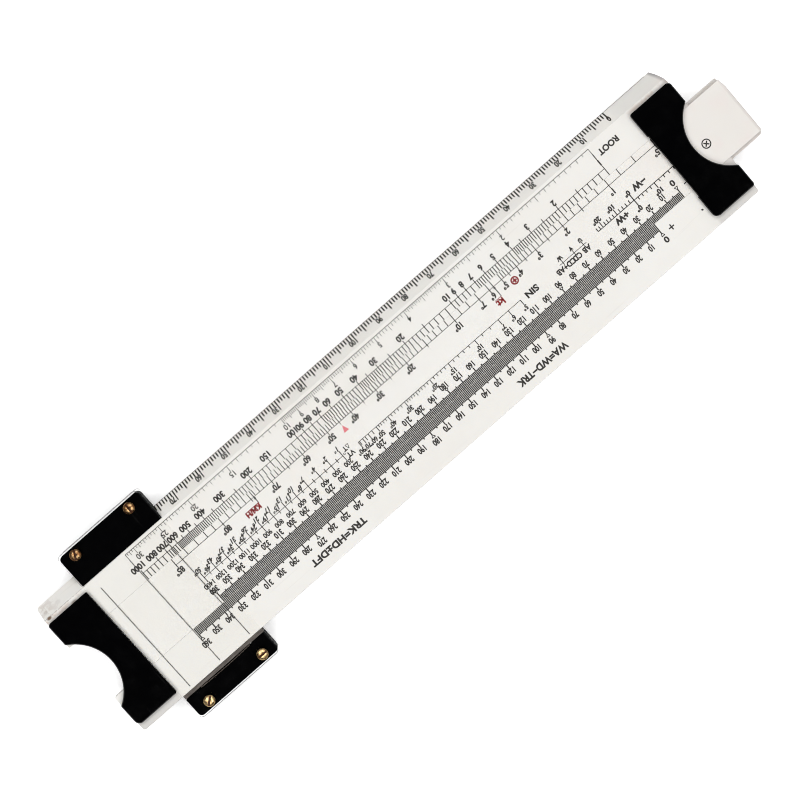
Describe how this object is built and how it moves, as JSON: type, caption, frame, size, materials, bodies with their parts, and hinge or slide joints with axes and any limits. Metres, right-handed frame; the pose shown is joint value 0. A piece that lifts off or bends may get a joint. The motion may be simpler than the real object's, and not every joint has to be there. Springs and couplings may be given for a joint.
{
  "type": "straight navigation slide rule",
  "caption": "Duplex slide rule for air navigation: white stock with a bevelled millimetre edge, black end braces with finger notches, sliding tongue and clear sprung cursor.",
  "frame": {"origin": "centre of the footprint at rest, on the table plane that the back screw heads touch", "axes": "+X along the scales from the zero end to the far end, +Y across the rule from the ruler edge to the upper stator, +Z out of the front face"},
  "size_m": [0.2534, 0.0636, 0.0095],
  "materials": {
    "white_plastic": "satin, slightly translucent",
    "black_plastic": "polished, lightly worn",
    "clear_plastic": "clear acrylic, lightly scratched",
    "grey_plastic": "matt grey-brown",
    "spring_steel": "dull spring strip",
    "brass": "turned brass, slightly tarnished"
  },
  "bodies": {
    "stock": {"upper_stator": "white_plastic", "lower_stator": "white_plastic", "left_front_brace": "black_plastic", "left_back_brace": "black_plastic", "right_front_brace": "black_plastic", "right_back_brace": "black_plastic"},
    "slide": {"slide": "white_plastic"},
    "cursor": {"cursor_front_window": "clear_plastic", "cursor_back_window": "clear_plastic", "cursor_top_rail": "black_plastic", "cursor_bottom_rail": "black_plastic", "cursor_leaf_spring": "spring_steel", "front_screw_top_left": "brass", "front_screw_top_right": "brass", "front_screw_bottom_left": "brass", "front_screw_bottom_right": "brass", "back_screw_top_left": "brass", "back_screw_top_right": "brass", "back_screw_bottom_left": "brass", "back_screw_bottom_right": "brass"},
    "guide_bar": {"cursor_guide_bar": "grey_plastic"}
  },
  "joints": [
    {"name": "slide_travel", "type": "slide", "parent": "stock", "child": "slide", "axis": [1, 0, 0], "range_m": [-0.168, 0.192]},
    {"name": "cursor_travel", "type": "slide", "parent": "stock", "child": "cursor", "axis": [1, 0, 0], "range_m": [-0.18, 0]},
    {"name": "guide_bar_float", "type": "slide", "parent": "cursor", "child": "guide_bar", "axis": [0, 1, 0], "range_m": [0, 0.00015]}
  ]
}
